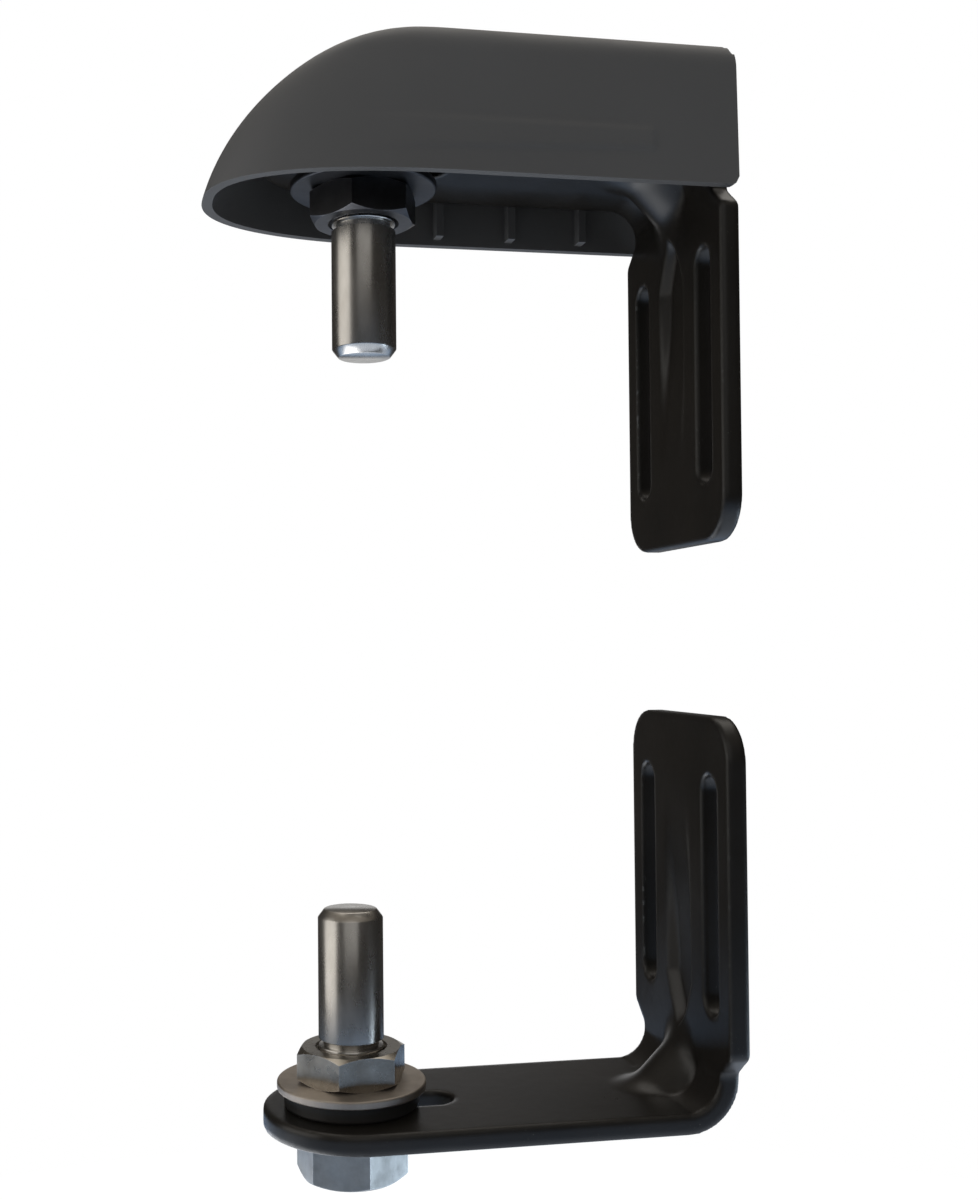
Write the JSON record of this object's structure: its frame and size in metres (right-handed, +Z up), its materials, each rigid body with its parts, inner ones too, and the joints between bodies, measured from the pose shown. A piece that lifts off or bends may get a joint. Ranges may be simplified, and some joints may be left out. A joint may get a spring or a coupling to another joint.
{
  "type": "adjustable gate hinge",
  "caption": "Adjustable gate hinge set: slotted bent steel post brackets with opposed hinge pins that slide and screw to set the leaf, and a moulded cover over the top arm.",
  "frame": {"origin": "middle of the lower bracket's post slots, on its face against the post", "axes": "+X out of the brackets' back faces into the post, +Y across the brackets, +Z up along the hinge pins"},
  "size_m": [0.1255, 0.0622, 0.2743],
  "materials": {
    "black_powder_coat": "semi-gloss black powder coat",
    "cover_plastic": "fine matt moulded",
    "spacer_plastic": "matt",
    "washer_steel": "pressed, satin",
    "nut_steel": "satin",
    "zinc_steel": "zinc plated, fine grain",
    "pin_steel": "turned"
  },
  "bodies": {
    "post_brackets": {"lower_bracket": "black_powder_coat", "upper_bracket": "black_powder_coat"},
    "lower_slider": {"lower_spacer": "spacer_plastic", "lower_washer": "washer_steel"},
    "lower_lock_nut": {"lower_lock_nut": "nut_steel"},
    "lower_back_nut": {"lower_back_nut": "zinc_steel"},
    "lower_pin": {"lower_hinge_pin": "pin_steel"},
    "upper_slider": {"upper_spacer": "spacer_plastic", "upper_washer": "washer_steel"},
    "upper_lock_nut": {"upper_lock_nut": "nut_steel"},
    "upper_back_nut": {"upper_back_nut": "zinc_steel"},
    "upper_pin": {"upper_hinge_pin": "pin_steel"},
    "cover": {"upper_cover": "cover_plastic"}
  },
  "joints": [
    {"name": "lower_leaf_gap", "type": "slide", "parent": "post_brackets", "child": "lower_slider", "axis": [1, 0, 0], "range_m": [-0.003, 0.0148]},
    {"name": "lower_lock_nut_turn", "type": "hinge", "parent": "lower_slider", "child": "lower_lock_nut", "pos_m": [-0.09, 0, -0.0507], "axis": [0, 0, -1], "range_deg": [0, 900]},
    {"name": "lower_back_nut_turn", "type": "hinge", "parent": "lower_slider", "child": "lower_back_nut", "pos_m": [-0.09, 0, -0.0507], "axis": [0, 0, -1], "range_deg": [0, 900]},
    {"name": "lower_pin_height", "type": "slide", "parent": "lower_slider", "child": "lower_pin", "axis": [0, 0, 1], "range_m": [0, 0.005]},
    {"name": "upper_leaf_gap", "type": "slide", "parent": "post_brackets", "child": "upper_slider", "axis": [1, 0, 0], "range_m": [-0.002, 0.0103]},
    {"name": "upper_lock_nut_turn", "type": "hinge", "parent": "upper_slider", "child": "upper_lock_nut", "pos_m": [-0.0855, 0, 0.1798], "axis": [0, 0, 1], "range_deg": [0, 900]},
    {"name": "upper_back_nut_turn", "type": "hinge", "parent": "upper_slider", "child": "upper_back_nut", "pos_m": [-0.0855, 0, 0.1798], "axis": [0, 0, 1], "range_deg": [0, 900]},
    {"name": "upper_pin_height", "type": "slide", "parent": "upper_slider", "child": "upper_pin", "axis": [0, 0, -1], "range_m": [0, 0.005]},
    {"name": "cover_lift", "type": "slide", "parent": "post_brackets", "child": "cover", "axis": [0, 0, 1], "range_m": [0, 0.045]}
  ],
  "couplings": [
    {"joint": "lower_lock_nut_turn", "follows": "lower_pin_height", "rad_per_m": 3141.6},
    {"joint": "lower_back_nut_turn", "follows": "lower_pin_height", "rad_per_m": 3141.6},
    {"joint": "upper_lock_nut_turn", "follows": "upper_pin_height", "rad_per_m": 3141.6},
    {"joint": "upper_back_nut_turn", "follows": "upper_pin_height", "rad_per_m": 3141.6}
  ]
}
